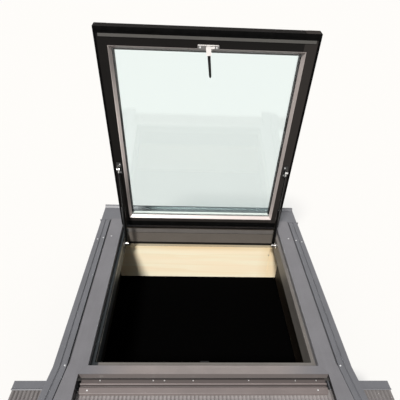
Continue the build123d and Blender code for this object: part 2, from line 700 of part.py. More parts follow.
def handle_base():
    """Handle's base plate on the free-end rail, bored for the spindle."""
    plate = block(
        HANDLE_X - BASE_L / 2, HANDLE_X + BASE_L / 2, HANDLE_Y - BASE_W / 2, HANDLE_Y + BASE_W / 2,
        SASH_IN - BASE_T, SASH_IN,
    )
    plate = fillet(plate.edges().filter_by(Axis.Z), BASE_W / 4)
    plate = fillet(plate.faces().sort_by(Axis.Z)[0].edges(), 2 * COVER_GAP)
    return plate - Pos(HANDLE_X, HANDLE_Y, SASH_IN - BASE_T / 2) * Cylinder(SPINDLE_R + PIN_GAP, BASE_T)


def leant(shape):
    """A turning piece of the handle, turned about its spindle to where the lever rests."""
    return shape.rotate(Axis((HANDLE_X, HANDLE_Y, 0), (0, 0, 1)), -HANDLE_LEAN)


def handle_neck():
    """Turning neck: spindle, boss, locking tongue and the collar that holds the lever."""
    face = SASH_IN - BASE_T - OPEN_PIVOT_GAP
    low = face - NECK_H
    spindle = Pos(HANDLE_X, HANDLE_Y, (SASH_IN - 1 + face) / 2) * Cylinder(SPINDLE_R, SASH_IN - 1 - face)
    boss = Pos(HANDLE_X, HANDLE_Y, (face + low) / 2) * Cylinder(NECK_R, NECK_H)
    tongue_z = face - NECK_H / 2
    tongue = block(
        HANDLE_X, HANDLE_X + TONGUE_L, HANDLE_Y - TONGUE_W / 2, HANDLE_Y + TONGUE_W / 2,
        tongue_z - TONGUE_T / 2, tongue_z + TONGUE_T / 2,
    )
    tongue = fillet(tongue.edges().filter_by(Axis.Z).group_by(Axis.X)[-1], TONGUE_W / 3)
    wide = LEVER_W / 2 + COLLAR_WALL
    collar = block(
        HANDLE_X - wide, HANDLE_X + wide, HANDLE_Y - wide, HANDLE_Y + COLLAR_L,
        low - LEVER_T - COLLAR_WALL, low,
    )
    collar = fillet(collar.edges().filter_by(Axis.Z), NECK_R / 2)
    return leant(spindle + boss + tongue + (collar - lever_blank()))


def lever_blank():
    """Tapering grip of the lever, before its edges are rounded."""
    low = SASH_IN - BASE_T - OPEN_PIVOT_GAP - NECK_H - LEVER_T
    root, tip = HANDLE_Y + NECK_R, HANDLE_Y + LEVER_L
    outline = [
        (HANDLE_X - LEVER_W / 2, root), (HANDLE_X + LEVER_W / 2, root),
        (HANDLE_X + LEVER_TIP_W / 2, tip), (HANDLE_X - LEVER_TIP_W / 2, tip),
    ]
    return prism_z(outline, low, low + LEVER_T - 1)


def handle_lever():
    """Lever grip, rounded along its sides and at its tip."""
    grip = lever_blank()
    grip = fillet(grip.edges().filter_by(Axis.Z).group_by(Axis.Y)[-1], LEVER_TIP_W / 3)
    return leant(fillet(grip.faces().sort_by(Axis.Z)[0].edges(), LEVER_ROUND))


def keeper():
    """Keeper on the sill's nose, with a lip that the tongue turns under."""
    tongue_top = SASH_IN - BASE_T - OPEN_PIVOT_GAP - NECK_H / 2 + TONGUE_T / 2
    lip_low = tongue_top + TONGUE_GAP
    x0, x1 = HANDLE_X - KEEPER_W / 2, HANDLE_X + KEEPER_W / 2
    plate = block(x0, x1, NOSE_SILL, NOSE_SILL + KEEPER_T, LEDGE_Z - NOSE_H, lip_low + KEEPER_T)
    lip = block(x0, x1, NOSE_SILL + KEEPER_T, NOSE_SILL + KEEPER_REACH, lip_low, lip_low + KEEPER_T)
    return plate + fillet(lip.edges().filter_by(Axis.Z).group_by(Axis.Y)[-1], KEEPER_REACH / 3)


def frame_bracket():
    """Right strut bracket on the jamb: a plate with a shouldered stud."""
    wall = NOSE_X + NOSE_STEP
    face = wall - BRACKET_T
    plate = block(
        face, wall, FOOT_Y - FOOT_PLATE_L / 2, FOOT_Y + FOOT_PLATE_L / 2,
        FOOT_Z - FOOT_PLATE_H / 2, FOOT_Z + FOOT_PLATE_H / 2,
    )
    plate = fillet(plate.edges().filter_by(Axis.X), FOOT_PLATE_H / 5)
    inner, outer = STRUT_X - EYE_W / 2, STRUT_X + EYE_W / 2
    shoulder = rod_x(outer + OPEN_PIVOT_GAP, face, FOOT_Y, FOOT_Z, STUD_R + 2)
    stud = rod_x(inner - OPEN_PIVOT_GAP - 2, outer + OPEN_PIVOT_GAP, FOOT_Y, FOOT_Z, STUD_R)
    cap = rod_x(inner - OPEN_PIVOT_GAP - 4, inner - OPEN_PIVOT_GAP, FOOT_Y, FOOT_Z, STUD_R + 2)
    return plate + shoulder + stud + cap


def sash_bracket():
    """Right strut bracket on the stile: a plate with an ear and a short stud beside the strut's eye."""
    ear_x = STRUT_X + EYE_W / 2 + BRACKET_T
    x1 = SASH_X - SEAL_W - BRACKET_IN
    plate = block(x1 - BRACKET_W, x1, SWING_Y - BRACKET_L / 2, SWING_Y + BRACKET_L / 2, SASH_IN - BRACKET_T, SASH_IN)
    plate = fillet(plate.edges().filter_by(Axis.Z), BRACKET_W / 6)
    ear = block(ear_x, ear_x + BRACKET_T, SWING_Y - EYE_R, SWING_Y + EYE_R, SWING_Z, SASH_IN - BRACKET_T)
    ear += rod_x(ear_x, ear_x + BRACKET_T, SWING_Y, SWING_Z, EYE_R)
    stud = rod_x(STRUT_X + EYE_W / 2 + OPEN_PIVOT_GAP, ear_x, SWING_Y, SWING_Z, STUD_R)
    return plate + ear + stud


def eye(bore):
    """Eye of a strut's end fitting, with its shank along +Z, at the origin."""
    shank = Pos(0, 0, (EYE_R - 1 + SHANK_L) / 2) * Cylinder(STUD_R + 1, SHANK_L - EYE_R + 1)
    head = Rot(0, 90, 0) * Cylinder(EYE_R, EYE_W)
    return head + shank - Rot(0, 90, 0) * Cylinder(bore, EYE_W)


def strut_span():
    """Places of a strut's two pivots with the sash open, its length and its lean from +Z about X."""
    top = Vector(0, SWING_Y - HINGE_Y, SWING_Z - HINGE_Z).rotate(Axis.X, -OPEN_ANGLE)
    dy = HINGE_Y + top.Y - FOOT_Y
    dz = HINGE_Z + top.Z - FOOT_Z
    return hypot(dy, dz), degrees(atan2(-dy, dz))


def strut_pieces():
    """The right strut's pieces in place: lower eye, cylinder, rod and upper eye."""
    length, lean = strut_span()
    place = Pos(STRUT_X, FOOT_Y, FOOT_Z) * Rot(lean, 0, 0)
    tube = Pos(0, 0, SHANK_L + TUBE_L / 2) * Cylinder(TUBE_R, TUBE_L)
    tube = fillet(tube.edges().filter_by(GeomType.CIRCLE), 2 * BEND_R)
    bore_l = TUBE_L - SHANK_L
    tube -= Pos(0, 0, SHANK_L + TUBE_L - bore_l / 2) * Cylinder(ROD_R + ROD_GAP, bore_l)
    start, end = SHANK_L + TUBE_L - ROD_IN, length - SHANK_L
    rod = Pos(0, 0, (start + end) / 2) * Cylinder(ROD_R, end - start)
    upper = Pos(0, 0, length) * Rot(180, 0, 0) * eye(STUD_R + OPEN_PIVOT_GAP)
    return {
        "lower_eye": place * eye(STUD_R + PIN_GAP),
        "cylinder": place * tube,
        "rod": place * rod,
        "upper_eye": place * upper,
    }


def frame_hardware_screws():
    """Screw heads on the hinges' frame leaves, strut brackets and keeper, and a nail in the head lining."""
    leaf_y = EDGE_HEAD + LEAF_W * 0.62
    heads = screw_heads([(HINGE_X - HINGE_L / 3, leaf_y), (HINGE_X + HINGE_L / 3, leaf_y)], TOP + LEAF_T)
    face = NOSE_X + NOSE_STEP - BRACKET_T
    for dy in (-FOOT_PLATE_L / 3, FOOT_PLATE_L / 3):
        heads.append(rod_x(face - SCREW_H, face, FOOT_Y + dy, FOOT_Z, SCREW_R))
    heads = [side for head in heads for side in both_sides(head)]
    keeper_z = LEDGE_Z - NOSE_H + SCREW_R + 1
    for dx in (-KEEPER_W / 4, KEEPER_W / 4):
        head = Pos(HANDLE_X + dx, NOSE_SILL + KEEPER_T + SCREW_H / 2, keeper_z) * Rot(90, 0, 0)
        heads.append(head * Cylinder(SCREW_R, SCREW_H))
    nail = Pos(LINING_JOINT - NAIL_IN, LINING_HEAD - SCREW_H / 2, NAIL_UP) * Rot(90, 0, 0)
    heads.append(nail * Cylinder(SCREW_R, SCREW_H))
    return Compound(heads)


def sash_hardware_screws():
    """Screw heads on the hinges' sash leaves, the strut brackets and the handle's base."""
    leaf_y = SASH_END - LEAF_W * 0.7
    outside = screw_heads(
        [(HINGE_X - HINGE_L / 3, leaf_y), (HINGE_X, leaf_y), (HINGE_X + HINGE_L / 3, leaf_y)], HINGE_Z + KNUCKLE_R
    )
    centre = SASH_X - SEAL_W - BRACKET_IN - BRACKET_W * 0.7
    inside = [(centre, SWING_Y - BRACKET_L / 3), (centre, SWING_Y + BRACKET_L / 3)]
    dome = Rot(180, 0, 0) * screw_heads([(0, 0)], 0)[0]
    heads = outside + [Pos(x, y, SASH_IN - BRACKET_T) * dome for x, y in inside]
    heads = [side for head in heads for side in both_sides(head)]
    for dx in (-BASE_L * 0.38, BASE_L * 0.38):
        heads.append(Pos(HANDLE_X + dx, HANDLE_Y, SASH_IN - BASE_T) * dome)
    return Compound(heads)


def frame_nodes():
    """Everything that stays on the roof."""
    head_board, packer = lining_head_boards()
    nodes = {
        "kerb_sill": kerb_end(NOSE_SILL, -1, SILL_LEDGE, SILL_W),
        "kerb_head": kerb_end(NOSE_HEAD, 1, HEAD_LEDGE, HEAD_W),
        "lining_sill": lining_end(-LINING_X, LINING_X, LINING_SILL - BOARD),
        "lining_head": head_board,
        "lining_head_packer": packer,
        "sill_cover": sill_cover(),
        "head_cover": head_cover(),
        "head_flashing": head_flashing(),
        "apron": apron(),
        "apron_tray": apron_tray(),
        "apron_skirt": apron_skirt(),
        "apron_rivets": apron_rivets(),
        "cover_screws": cover_screws(),
        "keeper": keeper(),
        "hinge_frame_leaves": Compound(list(both_sides(frame_leaf()))),
        "hinge_pins": Compound(list(both_sides(hinge_pin()))),
        "frame_hardware_screws": frame_hardware_screws(),
    }
    paired = {
        "kerb_jamb": kerb_jamb(),
        "lining": lining_side(),
        "side_cover": side_cover(),
        "side_flashing": side_flashing(),
        "strut_frame_bracket": frame_bracket(),
    }
    for name, right in paired.items():
        nodes[name + "_right"], nodes[name + "_left"] = both_sides(right)
    return nodes


def sash_nodes():
    """Everything that swings with the sash, modelled closed."""
    nodes = {
        "sash_free_rail": rail(SASH_FREE, SIGHT_FREE),
        "sash_hinge_rail": rail(SASH_END, SIGHT_HINGE),
        "sash_corner_keys": corner_keys(),
        "weather_seal": weather_seal(),
        "free_end_strip": free_end_strip(),
        "hinge_sash_leaves": Compound(list(both_sides(sash_leaf()))),
        "handle_base": handle_base(),
        "handle_neck": handle_neck(),
        "handle_lever": handle_lever(),
        "sash_hardware_screws": sash_hardware_screws(),
    }
    nodes.update(beads())
    nodes.update(glazing())
    for name, right in {"sash_stile": stile(), "strut_sash_bracket": sash_bracket()}.items():
        nodes[name + "_right"], nodes[name + "_left"] = both_sides(right)
    return nodes


def strut_nodes():
    """Both gas struts, in place for the open sash."""
    nodes = {}
    for name, right in strut_pieces().items():
        nodes["strut_right_" + name], nodes["strut_left_" + name] = both_sides(right)
    return nodes


def main():
    os.makedirs("parts", exist_ok=True)
    nodes = frame_nodes()
    nodes.update({name: opened(shape) for name, shape in sash_nodes().items()})
    nodes.update(strut_nodes())
    for name, shape in nodes.items():
        export_step(shape, "parts/" + name + ".step")


main()
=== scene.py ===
import json
from math import cos, pi, radians, sin

import bmesh
import bpy
import numpy as np
from bpy.props import FloatProperty, FloatVectorProperty, IntProperty, PointerProperty
from bpy.types import Operator, Panel, PropertyGroup
from mathutils import Matrix, Vector


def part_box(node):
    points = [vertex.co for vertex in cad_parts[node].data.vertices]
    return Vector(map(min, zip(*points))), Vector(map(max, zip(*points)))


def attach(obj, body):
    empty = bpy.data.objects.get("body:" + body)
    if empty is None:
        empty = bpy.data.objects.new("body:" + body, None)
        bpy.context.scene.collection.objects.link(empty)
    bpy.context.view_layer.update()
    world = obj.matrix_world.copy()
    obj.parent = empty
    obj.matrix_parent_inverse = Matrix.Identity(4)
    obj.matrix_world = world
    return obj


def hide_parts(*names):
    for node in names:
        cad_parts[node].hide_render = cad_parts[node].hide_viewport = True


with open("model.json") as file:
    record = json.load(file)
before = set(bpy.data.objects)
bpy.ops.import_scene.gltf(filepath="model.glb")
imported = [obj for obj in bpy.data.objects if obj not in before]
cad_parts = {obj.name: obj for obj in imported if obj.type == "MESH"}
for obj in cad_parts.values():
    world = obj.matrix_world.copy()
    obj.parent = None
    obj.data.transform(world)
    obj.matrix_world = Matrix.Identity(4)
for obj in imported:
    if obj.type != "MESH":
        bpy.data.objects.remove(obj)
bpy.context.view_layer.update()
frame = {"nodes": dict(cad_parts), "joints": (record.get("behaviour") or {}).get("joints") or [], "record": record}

bl_info = {
    "name": "Roof skylight",
    "version": (1, 0, 0),
    "blender": (4, 5, 0),
    "location": "View3D > Sidebar > Skylight",
    "description": "Finishes, soft pieces and studio stage of a top-hung roof skylight",
    "category": "Object",
}

JOINTS = {joint["name"]: joint for joint in frame["joints"]}
HINGE_POINT = np.array(JOINTS["sash_hinge"]["pos_m"])
SPINDLE_POINT = np.array(JOINTS["handle_turn"]["pos_m"])
OPEN_ANGLE = radians(JOINTS["sash_hinge"]["range_deg"][1])
LEVER_LEAN = -radians(JOINTS["handle_turn"]["range_deg"][0])

# Places on the frame, in metres. A pair is a soft edge: a zone starts at its first number and is full at its
# second.
FOOT_SHADE_LINE = (0.4905, 0.537, 0.289)  # half width, half length and top of the painted shade line at the kerb's foot
LEFT_SIDE = (-0.460, -0.465)  # x of all that lies on the left jamb and the left board
BELOW_HEAD = (0.530, 0.525)  # y of all that lies below the kerb's head member
IN_FRONT = (-0.599, -0.600)  # y of all that lies in front of the kerb

# Directions on the closed sash
TO_FREE_END = np.array([0.0, -1.0, 0.0])
TO_ROOM = np.array([0.0, 0.0, -1.0])


# Sizes read from the frame

def rotated(points, pivot, first, second, angle):
    """Points whose first and second coordinates turn about a pivot. The third stays."""
    a, b = points[..., first] - pivot[first], points[..., second] - pivot[second]
    out = points.copy()
    out[..., first] = pivot[first] + a * cos(angle) - b * sin(angle)
    out[..., second] = pivot[second] + a * sin(angle) + b * cos(angle)
    return out


def closed(points):
    """Points of the open sash, swung shut about its hinge line."""
    return rotated(points, HINGE_POINT, 1, 2, OPEN_ANGLE)


def opened(points):
    """Points of the closed sash, swung open."""
    return rotated(points, HINGE_POINT, 1, 2, -OPEN_ANGLE)


def about_spindle(points, angle):
    """Points of the closed sash turned about the handle's spindle, which stands upright then."""
    return rotated(points, closed(SPINDLE_POINT), 0, 1, angle)


def node_points(node):
    """All vertices of a CAD node."""
    mesh = frame["nodes"][node].data
    flat = np.zeros(len(mesh.vertices) * 3)
    mesh.vertices.foreach_get("co", flat)
    return flat.reshape(-1, 3)


def closed_points(node):
    """All vertices of a sash node, with the sash closed."""
    return closed(node_points(node))


# Meshes from numpy surfaces

def surface_object(name, grid, material, close_u=False, close_v=False):
    """Mesh of a grid of points (u, v, 3): each cell is a quad. A closed direction joins its last row to its
    first."""
    nu, nv = grid.shape[:2]
    index = np.arange(nu * nv).reshape(nu, nv)
    if close_u:
        index = np.vstack([index, index[:1]])
    if close_v:
        index = np.hstack([index, index[:, :1]])
    corners = [index[:-1, :-1], index[1:, :-1], index[1:, 1:], index[:-1, 1:]]
    quads = np.stack(corners, -1).reshape(-1, 4)
    mesh = bpy.data.meshes.new(name)
    mesh.from_pydata(grid.reshape(-1, 3), [], quads.tolist())
    mesh.shade_smooth()
    mesh.materials.append(material)
    obj = bpy.data.objects.new(name, mesh)
    bpy.context.scene.collection.objects.link(obj)
    return obj


def flat_patch(name, x, y, z, material):
    """Level rectangle over the given x and y, at one height."""
    grid_x, grid_y = np.meshgrid(x, y, indexing="ij")
    return surface_object(name, np.stack([grid_x, grid_y, np.full_like(grid_x, z)], -1), material)


def outward(obj):
    """Merges doubled points, drops collapsed cells and turns every face outwards."""
    work = bmesh.new()
    work.from_mesh(obj.data)
    bmesh.ops.remove_doubles(work, verts=work.verts, dist=1e-6)
    bmesh.ops.dissolve_degenerate(work, dist=1e-7, edges=work.edges)
    bmesh.ops.recalc_face_normals(work, faces=work.faces)
    work.to_mesh(obj.data)
    work.free()
    return obj


def place_piece(obj, body, node):
    """Puts a finished piece on its body, in the place of its CAD node."""
    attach(obj, body)
    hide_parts(node)


def skirt_surface(low, high, thick, s):
    """Pleats side by side along x. The height falls from the top by a depth times one minus a crest. The
    crest is a cosine wave to a power below one, which makes it broad and its valleys narrow. The depth is a
    share of the box's height at the crimped edge and all of it past the crimp run, and a slow sine wave
    varies it."""
    cells_per_pleat, rows = 14, 24
    roundness, unevenness = 0.45, 0.12
    x = np.linspace(low[0] + thick, high[0] - thick, s.pleats * cells_per_pleat + 1)
    y = np.linspace(low[1] + thick / 10, high[1], rows)
    grid_x, grid_y = np.meshgrid(x, y, indexing="ij")
    phase = (grid_x - low[0]) / (high[0] - low[0]) * s.pleats * 2 * pi
    crest = (0.5 - 0.5 * np.cos(phase)) ** roundness
    share = s.crimp + (1 - s.crimp) * np.clip((high[1] - grid_y) / s.crimp_run, 0, 1)
    uneven = 1 - unevenness + unevenness * np.sin(grid_x * 61.0 + grid_y * 40.0)
    depth = (high[2] - low[2] - thick) * share * uneven
    return np.stack([grid_x, grid_y, high[2] - thick - depth * (1 - crest)], -1)


def ring_corners(low, high):
    """The four corners of a rectangle, in order round it."""
    return np.array([(low[0], low[1]), (high[0], low[1]), (high[0], high[1]), (low[0], high[1])])


def seal_surface(points, s):
    """Rings from the seal's outer edge to its inner edge, with mitred corners. The height of the face is a
    half circle over the bulb's width, and past it a lower flat with fine cosine grooves. A flat back closes
    each section."""
    steps, flat_share, groove_share = 49, 0.42, 0.08
    low, high = points.min(0), points.max(0)
    hole = points[np.abs(points[:, 0]) < high[0] - 1e-5]
    outer, inner = ring_corners(low, high), ring_corners(hole.min(0), hole.max(0))
    share = np.linspace(0, 1, steps)
    rings = outer[:, None] + (inner - outer)[:, None] * share[:, None]
    across = np.abs(rings - outer[:, None]).min(-1)
    bulb = np.sqrt(np.clip(1 - (2 * across / s.bulb - 1) ** 2, 0, 1))
    flat = flat_share + groove_share * np.cos(2 * pi * across / s.groove)
    height = (high[2] - low[2]) * np.maximum(np.where(across <= s.bulb, bulb, 0), flat)
    face = np.concatenate([rings, (high[2] - height)[..., None]], -1)
    back = np.concatenate([rings[:, [-1, 0]], np.full((4, 2, 1), high[2])], -1)
    return np.concatenate([face, back], 1)


def grip_surface(points, s):
    """Superellipse sections along y: the cosine and the sine of the angle round the grip, each to a power
    below one with its sign kept, times the half width and the half depth. The half width runs evenly from the
    root to the tip, the half depth falls with the square of the way past the root, and both close over the
    tip as a circle does."""
    stations, points_round = 60, 48
    squareness, tip_squareness, crowding = 0.55, 0.7, 1.6
    root_length, tip_length = 0.3, 0.10  # as shares of the grip's length
    low, high = points.min(0), points.max(0)
    root = points[points[:, 1] < low[1] + 1e-5]
    tip = points[points[:, 1] > high[1] - 0.02]
    half_root, half_tip = np.ptp(root[:, 0]) / 2, np.ptp(tip[:, 0]) / 2
    half_height = (high[2] - low[2]) / 2
    along = 1 - (1 - np.linspace(0, 1, stations)) ** crowding
    closing = np.clip((along - (1 - tip_length)) / tip_length, 0, 1)
    end = np.sqrt(np.clip(1 - closing ** 2, 0, 1))
    past_root = np.clip((along - root_length) / (1 - root_length), 0, 1)
    half_width = (half_root + (half_tip - half_root) * along) * end
    half_depth = half_height * (1 - s.crown * past_root ** 2) * end ** tip_squareness
    angle = np.linspace(0, 2 * pi, points_round, endpoint=False)
    round_x, round_z = (np.sign(w) * np.abs(w) ** squareness for w in (np.cos(angle), np.sin(angle)))
    grid = np.stack([
        (root[:, 0].min() + root[:, 0].max()) / 2 + half_width[:, None] * round_x,
        np.repeat((low[1] + (high[1] - low[1]) * along)[:, None], points_round, 1),
        high[2] - half_height + half_depth[:, None] * round_z,
    ], -1)
    root_cap = np.broadcast_to(grid[0].mean(0), grid[:1].shape)
    return np.concatenate([root_cap, grid])


# Shader nodes

class Value:
    """An output socket. Arithmetic on it adds Math nodes to its tree."""

    def __init__(self, net, socket):
        self.net, self.socket = net, socket

    def __add__(self, other):
        return self.net.math("ADD", self, other)

    def __sub__(self, other):
        return self.net.math("SUBTRACT", self, other)

    def __rsub__(self, other):
        return self.net.math("SUBTRACT", other, self)

    def __mul__(self, other):
        return self.net.math("MULTIPLY", self, other)

    def __pow__(self, other):
        return self.net.math("POWER", self, other)

    def __abs__(self):
        return self.net.math("ABSOLUTE", self)

    __radd__, __rmul__ = __add__, __mul__


class Net:
    """A material's or a world's node tree, emptied and ready for nodes."""

    def __init__(self, owner):
        owner.use_nodes = True
        self.tree = owner.node_tree
        self.tree.nodes.clear()

    def node(self, kind, settings=None, inputs=None, output=0):
        """Adds a node: its settings first, then values or links into its sockets. Returns one output."""
        made = self.tree.nodes.new(kind)
        for key, value in (settings or {}).items():
            setattr(made, key, value)
        for key, value in (inputs or {}).items():
            if isinstance(value, Value):
                self.tree.links.new(value.socket, made.inputs[key])
            else:
                made.inputs[key].default_value = value
        return Value(self, made.outputs[output]) if made.outputs else made

    def parts(self, kind, inputs=None):
        """Adds a node and returns all of its outputs by name."""
        outputs = self.node(kind, None, inputs).socket.node.outputs
        return {output.name: Value(self, output) for output in outputs}

    def math(self, operation, a, b=0.0, clamp=False):
        return self.node("ShaderNodeMath", {"operation": operation, "use_clamp": clamp}, {0: a, 1: b})

    def clamp(self, value):
        return self.math("ADD", value, 0.0, clamp=True)

    def mix(self, factor, a, b):
        """Colour between a and b."""
        return self.node("ShaderNodeMix", {"data_type": "RGBA"}, {0: factor, 6: a, 7: b}, 2)

    def place(self, scale=(1, 1, 1), move=(0, 0, 0)):
        """Object coordinates in metres, scaled and moved."""
        here = self.node("ShaderNodeTexCoord", output="Object")
        return self.node("ShaderNodeMapping", None, {"Vector": here, "Scale": scale, "Location": move})

    def split(self, vector):
        """The three coordinates of a vector."""
        return tuple(self.parts("ShaderNodeSeparateXYZ", {"Vector": vector}).values())

    def axes(self):
        """The three Object coordinates in metres."""
        return self.split(self.place())

    def noise(self, scale, detail=3.0, rough=0.5, at=None):
        inputs = {"Vector": at or self.place(), "Scale": scale, "Detail": detail, "Roughness": rough}
        return self.node("ShaderNodeTexNoise", None, inputs)

    def cells(self, scale, output):
        """Cells of a metre divided by the scale: the colour of each, or the distance from its middle."""
        return self.node("ShaderNodeTexVoronoi", None, {"Vector": self.place(), "Scale": scale}, output)

    def between(self, value, low, high, new_low=0.0, new_high=1.0):
        """Stretches low to high over new_low to new_high, and holds it there outside."""
        ends = {"From Min": low, "From Max": high, "To Min": new_low, "To Max": new_high}
        return self.node("ShaderNodeMapRange", {"clamp": True}, {"Value": value, **ends})

    def up_to(self, value, edge, soft=0.001):
        """1 up to an edge, and 0 from a little past it."""
        return self.between(value, edge + soft, edge)

    def band(self, value, start, full, last, end):
        """1 from full to last, falling to 0 at start and at end."""
        return self.between(value, start, full) * self.between(value, end, last)

    def zoned(self, body, colour, zones):
        """A base colour with zones laid over it. They are None, or a function of the net and of the finish's
        own colour, which gives pairs of a mask and the colour of that place."""
        for mask, local in zones(self, colour) if zones else ():
            body = self.mix(mask, body, local)
        return body

    def bump(self, height, distance, strength):
        inputs = {"Height": height, "Distance": distance, "Strength": strength}
        return self.node("ShaderNodeBump", None, inputs)

    def surface(self, **sockets):
        """Closes the tree with a Principled shader. Underscores in a name stand for spaces."""
        inputs = {key.replace("_", " "): value for key, value in sockets.items()}
        shader = self.node("ShaderNodeBsdfPrincipled", None, inputs)
        self.node("ShaderNodeOutputMaterial", None, {"Surface": shader})

    def seen_directly(self):
        """1 where the eye meets a surface straight, in a mirror or through glass, and 0 for other light."""
        path = self.parts("ShaderNodeLightPath")
        seen = self.clamp(path["Is Camera Ray"] + path["Is Glossy Ray"] + path["Is Transmission Ray"])
        return seen * (1.0 - self.clamp(path["Diffuse Depth"]))

    def from_hinge(self, way):
        """Distance from the hinge line along a direction of the closed sash, which swings open with it."""
        _, y, z = self.axes()
        _, way_y, way_z = opened(HINGE_POINT + way) - HINGE_POINT
        return (y - HINGE_POINT[1]) * way_y + (z - HINGE_POINT[2]) * way_z


def new_net(name):
    material = bpy.data.materials.new(name)
    return material, Net(material)


def tint(colour, *factors):
    """A colour with full alpha, made lighter or darker by one factor, or by one for each channel."""
    return tuple(min(c * k, 1.0) for c, k in zip(colour[:3], factors * 3)) + (1.0,)


def stretched(across, along, axis):
    """Scales of a pattern that runs along one axis."""
    scale = [across] * 3
    scale[axis] = along
    return scale


# Zones: places of a piece whose colour departs from its finish

def kerb_zones(net, colour):
    """A browner head member, painted shade on the left jamb with a painted glint below its nose, a painted shade
    line along the kerb's foot in the opening, and painted shade behind the apron."""
    x, y, z = net.axes()
    foot_x, foot_y, foot_z = FOOT_SHADE_LINE
    # Painted shade: a near-black line along the kerb's foot stands in for the shadow gap there.
    foot_shade = net.up_to(abs(x), foot_x) * net.up_to(abs(y), foot_y) * net.up_to(z, foot_z)
    # Painted shade on the kerb behind the apron.
    behind_apron_shade = net.up_to(y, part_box("kerb_sill")[0].y + 0.0005)
    below_head = net.between(y, *BELOW_HEAD)
    # Painted shade: the left jamb's inner wall is darkened and cooled, as if the key light left it in shade.
    left = net.between(x, *LEFT_SIDE) * below_head
    jamb = node_points("kerb_jamb_left")
    face = jamb[:, 0].max()
    nose = jamb[jamb[:, 0] > face - 0.0005, 2].max()
    patchy = net.between(net.noise(9.0, 4.0, 0.7), 0.35, 0.60, 0.35)
    # Painted glint: a pale streak along the left jamb just below its nose.
    nose_glint = patchy * net.band(x, face - 0.0020, face - 0.0015, face + 0.0015, face + 0.0020)
    nose_glint = nose_glint * net.band(z, nose - 0.044, nose - 0.040, nose - 0.016, nose - 0.012) * below_head
    return [
        (1.0 - below_head, tint(colour, 0.92, 0.84, 0.73)),
        (left, tint(colour, 0.15, 0.19, 0.22)),
        (foot_shade, tint(colour, 0.05)),
        (behind_apron_shade, tint(colour, 0.25)),
        (nose_glint, (0.60, 0.59, 0.57, 1.0)),
    ]


def sill_zones(net, colour):
    """The sill cover weathers to the side covers' grey towards its ends, and painted shade darkens its front face.
    """
    x, y, z = net.axes()
    low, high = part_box("sill_cover")
    side_cover_grey = tint(bpy.context.scene.skylight_finish.cover, 1.0)
    ends = net.between(abs(x), 0.30, 0.50)
    # Painted shade on the front face, which is turned away from the light.
    front = net.up_to(z, high.z - 0.0032) * net.between(y, low.y + 0.0205, low.y + 0.0105)
    return [(ends, side_cover_grey), (front, tint(colour, 0.72))]


def apron_zones(net, colour):
    """Painted shade at the back of the apron, in its channel and in its groove, and a painted highlight on the rib
    between these.
    """
    _, y, _ = net.axes()
    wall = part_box("apron")[1].y
    # Painted shade in the channel, at the back wall and in the groove, and a painted highlight on the rib.
    channel_shade = net.between(y, wall - 0.0280, wall - 0.0250)
    back = net.between(y, wall - 0.0120, wall - 0.0080)
    rib_highlight = net.band(y, wall - 0.0365, wall - 0.0350, wall - 0.0290, wall - 0.0270)
    groove = net.band(y, wall - 0.0430, wall - 0.0410, wall - 0.0380, wall - 0.0365)
    return [
        (channel_shade, tint(colour, 0.62)),
        (back, tint(colour, 0.12)),
        (rib_highlight, tint(colour, 1.45)),
        (groove, tint(colour, 0.45)),
    ]


def flashing_zones(net, colour):
    """Painted shade in the narrow gap between the apron's ends and the side covers' arms."""
    x, y, _ = net.axes()
    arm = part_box("apron")[1].x + 0.014
    # Painted shade: the gap is darkened in the colour.
    gap_shade = net.band(abs(x), arm - 0.060, arm - 0.055, arm - 0.002, arm) * net.between(y, *IN_FRONT)
    return [(gap_shade, tint(colour, 0.12))]


def cover_zones(net, colour):
    """Painted shade on the lips of the side covers' arms beside the apron, and along the covers' outer edges."""
    x, y, z = net.axes()
    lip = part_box("apron")[1].x + 0.012
    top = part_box("sill_cover")[1].z
    # Painted shade on the lips of the arms beside the apron.
    lip_shade = net.up_to(abs(x), lip, 0.0005) * net.up_to(z, top - 0.0025, 0.0007)
    lip_shade = lip_shade * net.between(y, *IN_FRONT)
    cover = node_points("side_cover_right")
    edge = cover[cover[:, 1] > 0.0, 0].max()
    behind_arm = net.between(y, -0.56, -0.54)
    # Painted shade along the covers' outer edges, where they drop to the flashing.
    rim_shade = net.between(abs(x), edge - 0.006, edge - 0.003) * behind_arm
    return [(lip_shade, tint(colour, 0.15)), (rim_shade, tint(colour, 0.25))]


def bead_zones(net, colour):
    """The right bead is a little paler than the upper one. A painted highlight runs along the middle of the left
    bead, and another lies on the lower bead and the feet of the side beads."""
    x, _, z = net.axes()
    inner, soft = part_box("bead_right")[0].x, 0.002
    below_top, mid_height, foot_height = (1.44, 1.40), (0.68, 0.90, 1.12, 1.38), (0.62, 0.50)
    right = net.between(x, inner - soft, inner) * net.between(z, *below_top)
    # Painted highlight along the middle of the left bead.
    rubbed = net.between(x, soft - inner, -inner) * net.band(z, *mid_height)
    foot_highlight = net.between(z, *foot_height)
    return [(right, tint(colour, 1.35)), (rubbed, tint(colour, 3.0)), (foot_highlight, tint(colour, 2.0))]


def sash_zones(net, colour):
    """A painted highlight lies on the face of the hinge rail beside its bead, and a painted reflection lightens
    the right stile.
    """
    x, _, _ = net.axes()
    stile_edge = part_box("sash_hinge_rail")[1].x
    # Painted reflection: the right stile is lightened.
    stile_reflection = net.between(x, stile_edge - 0.015, stile_edge - 0.014)
    rail = closed_points("sash_hinge_rail")
    near, far = HINGE_POINT[1] - rail[:, 1].max(), HINGE_POINT[1] - rail[:, 1].min()
    middle = (near + far) / 2
    along = net.from_hinge(TO_FREE_END)
    # Painted highlight on the hinge rail's face beside its bead.
    rail_highlight = net.between(along, middle - 0.006, middle + 0.006)
    on_rail = net.up_to(abs(x), stile_edge) * net.up_to(along, far)
    return [(stile_reflection, tint(colour, 4.0)), (rail_highlight * on_rail, tint(colour, 5.0))]


